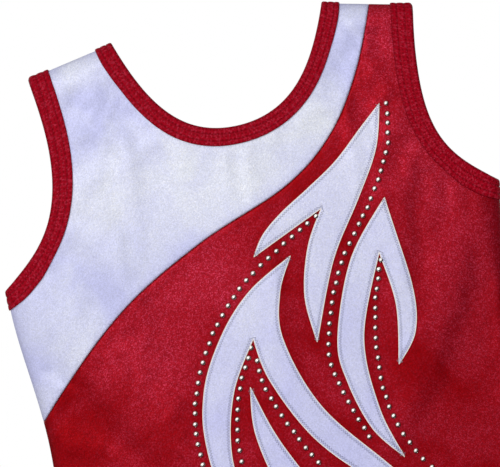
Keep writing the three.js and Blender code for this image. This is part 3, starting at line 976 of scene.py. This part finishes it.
# %% Threads, stitches and zigzags
THREAD = 0.32  # mm across
THREAD_SIDES = 5
STITCH_STEPS = 6
A_LITTLE = 0.5  # mm further out


def lifted(across, up, face, out):
    """Points on the form in mm, and the way the cloth faces there."""
    points = on_form(across, up, face, out)
    away = on_form(across, up, face, np.asarray(out) + A_LITTLE) - points
    return points, away / np.maximum(np.linalg.norm(away, axis=-1), 1e-9)[..., None]


def thread(bm, path, facing, radius, closed=False):
    """A thread swept along a path, as a tube with closed ends or as a closed loop."""
    count = len(path) if closed else len(path) - 1
    made, i, j = cells(bm, count, THREAD_SIDES)
    if closed:
        i = i % count
        along = np.roll(path, -1, axis=0) - np.roll(path, 1, axis=0)
    else:
        along = np.gradient(path, axis=0)
    across = np.cross(along, facing)
    across /= np.maximum(np.linalg.norm(across, axis=1), 1e-9)[:, None]
    angle = 2 * math.pi * (j % THREAD_SIDES) / THREAD_SIDES
    turned = across[i] * np.cos(angle)[:, None] + facing[i] * np.sin(angle)[:, None]
    radius = np.broadcast_to(radius, len(path))[i]
    move_to(made, path[i] + turned * radius[:, None])
    bmesh.ops.remove_doubles(bm, verts=made, dist=0.002)


def close_ends(bm):
    """Closes every open end and turns every face outwards."""
    bmesh.ops.holes_fill(bm, edges=[e for e in bm.edges if e.is_boundary], sides=0)
    bmesh.ops.recalc_face_normals(bm, faces=bm.faces)
    return bm


def stitches(bm, line, face, out, pitch):
    """A row of stitches: a thread that swells over the cloth and dips into it at each hole."""
    along = lengths_along(line)
    count = round(along[-1] / pitch)
    at = np.linspace(0, along[-1], count * STITCH_STEPS + 1)
    where = read_at(line, along, at)
    faces = np.where(np.interp(at, along, face) < 0, FRONT, BACK)
    rise = np.abs(np.sin(math.pi * count * at / along[-1]))
    points, facing = lifted(where[:, 0], where[:, 1], faces, out + THREAD * (rise - 0.9))
    thread(bm, points[:-1], facing[:-1], THREAD / 2 * (0.35 + 0.65 * rise[:-1]), closed=True)
    return count


def zigzag(line, inward, low, high, half_pitch):
    """Places on the flat that go to and fro between two distances in from a line."""
    along = lengths_along(line)
    at = np.arange(0, along[-1], half_pitch)
    in_from = np.where(np.arange(len(at)) % 2, low, high)
    return read_at(line, along, at) + read_at(inward, along, at) * in_from[:, None]


# %% [markdown]
# The bindings
#
# Each opening is bound with a strip of the same red knit, folded over the edge and over a 6 mm
# elastic, and sewn with a twin needle. The stitches divide it into three soft bands: a smooth round
# edge, a middle band that puckers between the two rows, and a narrow band that ends in a rolled
# inner edge. One closed section with those swells is swept round each opening, on both faces. A
# strip could be folded by simulation instead, but a swept section keeps the bands even.

# %% The section of a binding, as (in from the edge, out from the cloth)
ROW_SHARES = (0.37, 0.73)  # of the width, from the edge to each row of stitches
binding_top = on_cloth + BINDING_CLOTH
SWELL = 0.5  # mm that a band rises between its stitches
BAND_SWELLS = np.array([1.0, 0.8, 0.7])  # shares of it, from the edge inwards
STITCH_SINK = 0.25  # mm that each row of stitches is pulled down
EDGE_ROUND = 1.7  # mm
PITCH = 2.2  # mm a stitch


def outer_height(q, width):
    """The outer side of a binding, at a distance in from the edge."""
    edges = np.array([0.0, *(share * width for share in ROW_SHARES), width])
    band = np.clip(np.searchsorted(edges, q, side="right") - 1, 0, 2)
    share = (q - edges[band]) / (edges[band + 1] - edges[band])
    swell = np.sqrt(np.clip(1 - (2 * share - 1) ** 2, 0, 1)) * BAND_SWELLS[band]
    rounded = np.sqrt(np.clip(1 - (1 - q / EDGE_ROUND).clip(0) ** 2, 0, 1))
    return rounded * (binding_top - STITCH_SINK + SWELL * swell)


def binding_section(width):
    """The closed section: over the outer side, round the fold, and back along the inner side."""
    low, high = (share * width for share in ROW_SHARES)
    q = np.concatenate([np.linspace(width, high, 7), np.linspace(high, low, 8)[1:],
                        np.linspace(low, 0, 11)[1:-1]])
    outer = np.stack([q, outer_height(q, width)], axis=1)
    lining_side = on_cloth + 0.05
    inner = [(0.0, 0.0), (0.35, -0.95), (1.2, -binding_top), (low, -binding_top),
             (high, -binding_top), (width, -binding_top), (width, -lining_side),
             (width / 2, -lining_side), (1.1, -lining_side), (0.7, 0.0), (1.1, lining_side),
             (width / 2, lining_side), (width - 0.2, lining_side)]
    return np.array([*outer, *inner])


elastic_end = elastic_start + ELASTIC_WIDTH
elastic_section = np.array([(elastic_start, -CLOTH / 2), (elastic_end, -CLOTH / 2),
                            (elastic_end, CLOTH / 2), (elastic_start, CLOTH / 2)])


def round_opening(front, back, side=1):
    """The closed edge of an opening: places on the flat, the way into the cloth, and the face."""
    places = np.concatenate([front[:-1], back[::-1][:-1]])
    inward = np.concatenate([sideways(front)[:-1], sideways(back)[::-1][:-1]])
    face = np.repeat([FRONT, BACK], [len(front) - 1, len(back) - 1])
    return places * [side, 1], inward * [side, 1], face


PUCKER = 0.05  # mm
PUCKER_REACH = 0.24  # of the width, from the middle between the two rows


def wrap(name, node, edge, section, material, pucker=0.0):
    """A closed section swept round an opening, as a loop of cloth or elastic."""
    places, inward, face = edge
    count, around = len(places), len(section)
    bm = bmesh.new()
    made, i, j = cells(bm, count, around)
    along = lengths_along(looped(places))
    u = along[i]
    move_to(made, np.stack([u, lengths_along(looped(section))[j], 0 * u], axis=1))
    map_flat(bm)
    q, out = section[j % around].T
    if pucker:
        between = np.exp(-((q / q.max() - sum(ROW_SHARES) / 2) / PUCKER_REACH) ** 2)
        out = out + pucker * between * (out > on_cloth + 0.2) * np.cos(2 * math.pi * u / PITCH)
    at = places[i % count] + inward[i % count] * q[:, None]
    move_to(made, on_form(at[:, 0], at[:, 1], face[i % count], out))
    if pucker:
        # Painted shade along both rows of stitches and at both edges of the binding.
        at_rows = sum(np.exp(-((q - share * q.max()) / 0.5) ** 2) for share in ROW_SHARES)
        at_ends = np.exp(-(q / 0.9) ** 2) + np.exp(-((q - q.max()) / 0.5) ** 2)
        mark(bm, "painted_shade", 0.35 * at_rows + 0.5 * at_ends)
    bmesh.ops.remove_doubles(bm, verts=bm.verts, dist=0.001)
    bmesh.ops.recalc_face_normals(bm, faces=bm.faces)
    return put(bm, name, material, node), along[-1]


openings = {
    "neck": round_opening(front_neck, back_neck),
    "left_arm": round_opening(arm_edge, arm_edge),
    "right_arm": round_opening(arm_edge, arm_edge, -1),
    "left_leg": round_opening(front_leg, back_leg),
    "right_leg": round_opening(front_leg, back_leg, -1),
}
print("section of", len(binding_section(BINDING_WIDTH)), "points")

# %% Bind the five openings
for name, edge in openings.items():
    node = name.replace("arm", "armhole")
    width = ARM_BINDING_WIDTH if "arm" in name else BINDING_WIDTH
    section = binding_section(width)
    wrap(name + "_elastic_tape", node + "_elastic", edge, elastic_section, elastic_white)
    cover, length = wrap(name + "_fold", node + "_binding", edge, section, red_binding,
                         pucker=PUCKER)
    strip = lengths_along(looped(section))[-1] / 2
    places, inward, face = edge
    bm = bmesh.new()
    for share in ROW_SHARES:
        line = places + inward * share * width
        height = float(outer_height(np.array([share * width]), width)[0])
        count = stitches(bm, looped(line), looped(face), height, PITCH)
    put(close_ends(bm), name + "_twin_stitches", thread_red)
    print(name, "binding", round(length), "mm long,", count, "stitches a row")

# %% [markdown]
# The flames
#
# The flames are cut from the pearl cloth, stiffened, and laid on the body. Their cut edge shows
# its pale backing as a thin bright line, and a fine zigzag stitch runs just inside it and holds
# it down, so that the cloth between swells a little. They could be a colour in the body's finish,
# but a real edge catches the light.

# %% Flames, cut edges and zigzag stitches
APPLIQUE = 0.6
EDGE_RADIUS = 0.28
EDGE_SINK = 0.25
ZIGZAG = (0.8, 2.1)  # mm in from the edge
ZIGZAG_STEP = 0.8
ZIGZAG_RADIUS = 0.16
ZIGZAG_RISE = 0.12
# Painted sheen: the flames are drawn more frosted for each mm above a height, as if lit from above.
FLAME_LOOSE_AND_SHEEN, FLAME_SHEEN_ABOVE, FLAME_UP = 0.5, 0.004, -180  # at this height, and more for each mm above


def applique_height(flat, outline):
    away = nearest(flat, outline)
    return 0.2 * (1 - np.exp(-(away / 2.5) ** 2)) - 0.1


for name, outline in flame_outlines.items():
    closed = looped(outline)
    bm = cut(outline, 2.5, [outline], fine=1.1)
    flat = flat_of(bm)
    lay(bm, FRONT, on_cloth + APPLIQUE + applique_height(flat, outline), APPLIQUE,
        FLAME_LOOSE_AND_SHEEN + FLAME_SHEEN_ABOVE * (flat[:, 1] - FLAME_UP))
    flame = put(bm, name + "_flame_cloth", pearl_flame, "flame_" + name)

    bm = bmesh.new()
    points, facing = lifted(outline[:, 0], outline[:, 1], FRONT, on_cloth + APPLIQUE - EDGE_SINK)
    thread(bm, points, facing, EDGE_RADIUS, closed=True)
    put(close_ends(bm), name + "_flame_cut_edge", cut_edge)

    inward = sideways(closed) if twice_area(outline) < 0 else -sideways(closed)
    where = zigzag(closed, inward, *ZIGZAG, ZIGZAG_STEP)
    points, facing = lifted(where[:, 0], where[:, 1], FRONT,
                            on_cloth + APPLIQUE + applique_height(where, outline) + ZIGZAG_RISE)
    bm = bmesh.new()
    thread(bm, points, facing, ZIGZAG_RADIUS)
    put(close_ends(bm), name + "_flame_zigzag", thread_pale)

# %% [markdown]
# The studs
#
# Each stud is a small pressed dome with a narrow rim, glued down about 6 mm from the next.
# Its section is drawn once and spun round, and a copy is stood on the cloth at each place. Half a
# ball would be simpler, but the rim, painted dark as shade, gives each stud its dark outline.

# %% Rows of studs
STUD_DIAMETER = 3.5
STUD_HEIGHT = 1.6
STUD_RIM = 0.12  # mm high
STUD_SHOULDER = (0.92, 0.18)  # the dome starts at this share of the rim, this high
STUD_PITCH = 5.9
STUD_WANDER = 0.3  # they are set by hand, a little uneven
STUD_TURNS = 12
STUD_ROWS = {
    "a": [(88, -66), (85, -91), (70, -121), (48, -152), (35, -185), (32, -212), (45, -253)],
    "b": [(71, -155), (63, -180), (59, -207), (60, -240), (73, -272), (102, -308)],
    "c": [(38, -122), (15, -135), (-14, -155), (-39, -186), (-53, -228), (-48, -275), (-44, -318)],
    "d": [(-12, -188), (-24, -212), (-30, -240), (-29, -268), (-35, -292)],
    "e": [(-10, -196), (-7, -217), (14, -262), (41, -292), (70, -330)],
}


def one_stud():
    """The shape of one stud, standing on its base at the origin."""
    bm = bmesh.new()
    half = STUD_DIAMETER / 2
    share, start = STUD_SHOULDER
    turns = [math.radians(a) for a in (0, 20, 45, 70)]
    section = [(half, -GAP), (half, STUD_RIM)]
    section += [(share * half * math.cos(a), start + (STUD_HEIGHT - start) * math.sin(a)) for a in turns]
    # The rim and the foot of the dome carry painted shade.
    dark = bm.verts.layers.float.new("painted_shade")
    ring = [bm.verts.new((r, 0, z)) for r, z in section] + [bm.verts.new((0, 0, STUD_HEIGHT))]
    for v, value in zip(ring, (1.0, 1.0, 0.5)):
        v[dark] = value
    edges = [bm.edges.new(pair) for pair in zip(ring, ring[1:])]
    bmesh.ops.spin(bm, geom=ring + edges, axis=(0, 0, 1), cent=(0, 0, 0), steps=STUD_TURNS,
                   angle=2 * math.pi, use_merge=True, use_duplicate=False)
    bmesh.ops.remove_doubles(bm, verts=bm.verts, dist=0.001)
    close_ends(bm)
    mesh = bpy.data.meshes.new("one_stud")
    bm.to_mesh(mesh)
    bm.free()
    return mesh


stud = one_stud()
rng = np.random.default_rng(7)
for name, points in STUD_ROWS.items():
    line = flat_stroke(points, 0.5)
    spots = evenly(line, STUD_PITCH)
    spots = spots + rng.uniform(-STUD_WANDER, STUD_WANDER, spots.shape)
    points, facing = lifted(spots[:, 0], spots[:, 1], FRONT, CLOTH / 2)
    bm = bmesh.new()
    for point, normal in zip(points, facing):
        before = set(bm.verts)
        bm.from_mesh(stud)
        upright = Vector(normal).to_track_quat("Z", "Y").to_matrix().to_4x4()
        bmesh.ops.transform(bm, matrix=Matrix.Translation(Vector(point)) @ upright,
                            verts=[v for v in bm.verts if v not in before])
    put(bm, "studs_" + name, stud_metal, "stud_row_" + name)
    print("row", name, len(spots), "studs")
bpy.data.meshes.remove(stud)

# %% [markdown]
# Seams and label inside
#
# Where two panels meet, their edges stand inwards together as a narrow overlocked allowance, with
# a thread that runs to and fro over the raw edges. The join's allowance is pressed flat behind the
# body. A blank satin label hangs below the back of the neck. Little of this shows, and a plain
# strip would do from outside, but seen through the neck the thread is what makes it look sewn.

# %% Allowances and overlock stitches
OVERLOCK_STEP = 0.9  # mm along the seam, a quarter of a stitch
OVERLOCK_REACH = np.array([-3.0, 0.3, -3.0, 0.3])  # past the raw edge: a side, the edge, a side
OVERLOCK_SIDE = np.array([0.8, 0.0, -0.8, 0.0])  # mm to the front or the back
SEAM_STEP = 2.0
SEAM_ROWS = 3


def standing_seam(name, node, line):
    """Two raw edges standing inwards from a fold, with a thread that runs over their edge."""
    line = evenly(line, SEAM_STEP)
    bm = bmesh.new()
    made, i, j = cells(bm, len(line) - 1, SEAM_ROWS)
    low = -on_cloth - ALLOWANCE * j / SEAM_ROWS
    move_to(made, on_form(line[i, 0], line[i, 1], FRONT, low))
    bmesh.ops.solidify(bm, geom=bm.faces[:], thickness=CLOTH)
    bmesh.ops.recalc_face_normals(bm, faces=bm.faces)
    map_flat(bm)
    put(bm, name + "_allowance", thread_red, node)

    where = evenly(line, OVERLOCK_STEP)
    turn = np.arange(len(where)) % 4
    path = on_form(where[:, 0], where[:, 1], FRONT, -on_cloth - (ALLOWANCE + OVERLOCK_REACH[turn]))
    path[:, 1] += OVERLOCK_SIDE[turn]
    bm = bmesh.new()
    thread(bm, path, np.tile([0.0, 1.0, 0.0], (len(path), 1)), THREAD / 2)
    put(close_ends(bm), name + "_overlock", thread_red)


inner_left = evenly(np.array([[neck_end + clear_of_binding, 0], [arm_end - clear_of_binding, 0]]),
                    SEAM_STEP)
side_in = side_edge(arm_edge[-1][1] - clear_of_binding, front_leg[0][1] + clear_of_binding)
crotch_half = front_leg[-1][0] - clear_of_binding
crotch_line = np.array([[-crotch_half, crotch_up], [crotch_half, crotch_up]])
standing_seams = {"left_side": side_in, "right_side": mirrored(side_in), "left_shoulder": inner_left,
                  "right_shoulder": mirrored(inner_left), "crotch": crotch_line}
for name, line in standing_seams.items():
    standing_seam(name, name + "_seam", line)
print(len(standing_seams), "standing seams")

# %% The join's allowance and the label
FROM_SIDE = 12  # mm that the join's allowance stops short of the side
behind = inside(join_edge)
behind = behind[behind[:, 0] > FROM_SIDE - CHEST_HALF]
strip = closed_outline([moved(behind, 0.5), moved(behind, ALLOWANCE)[::-1]], 2.0)
bm = cut(strip, 3.0)
lay(bm, FRONT, -on_cloth, BINDING_CLOTH)
put(bm, "yoke_allowance", thread_red, "yoke_seam")

LABEL = (24.0, 30.0)
LABEL_CLOTH = 0.5
label_up = to_flat(0, -BACK_NECK_DROP - clear_of_binding)[1]
label_end = label_up - LABEL[1]
half = LABEL[0] / 2
corners = np.array([(-half, label_up), (half, label_up), (half, label_end), (-half, label_end)])
bm = cut(closed_outline([corners], 2.0), 3.0)
lay(bm, BACK, -on_cloth, LABEL_CLOTH)
label = put(bm, "blank_care_label", satin, "care_label")
print("join's allowance", round(lengths_along(behind)[-1]), "mm long, label", LABEL, "mm")
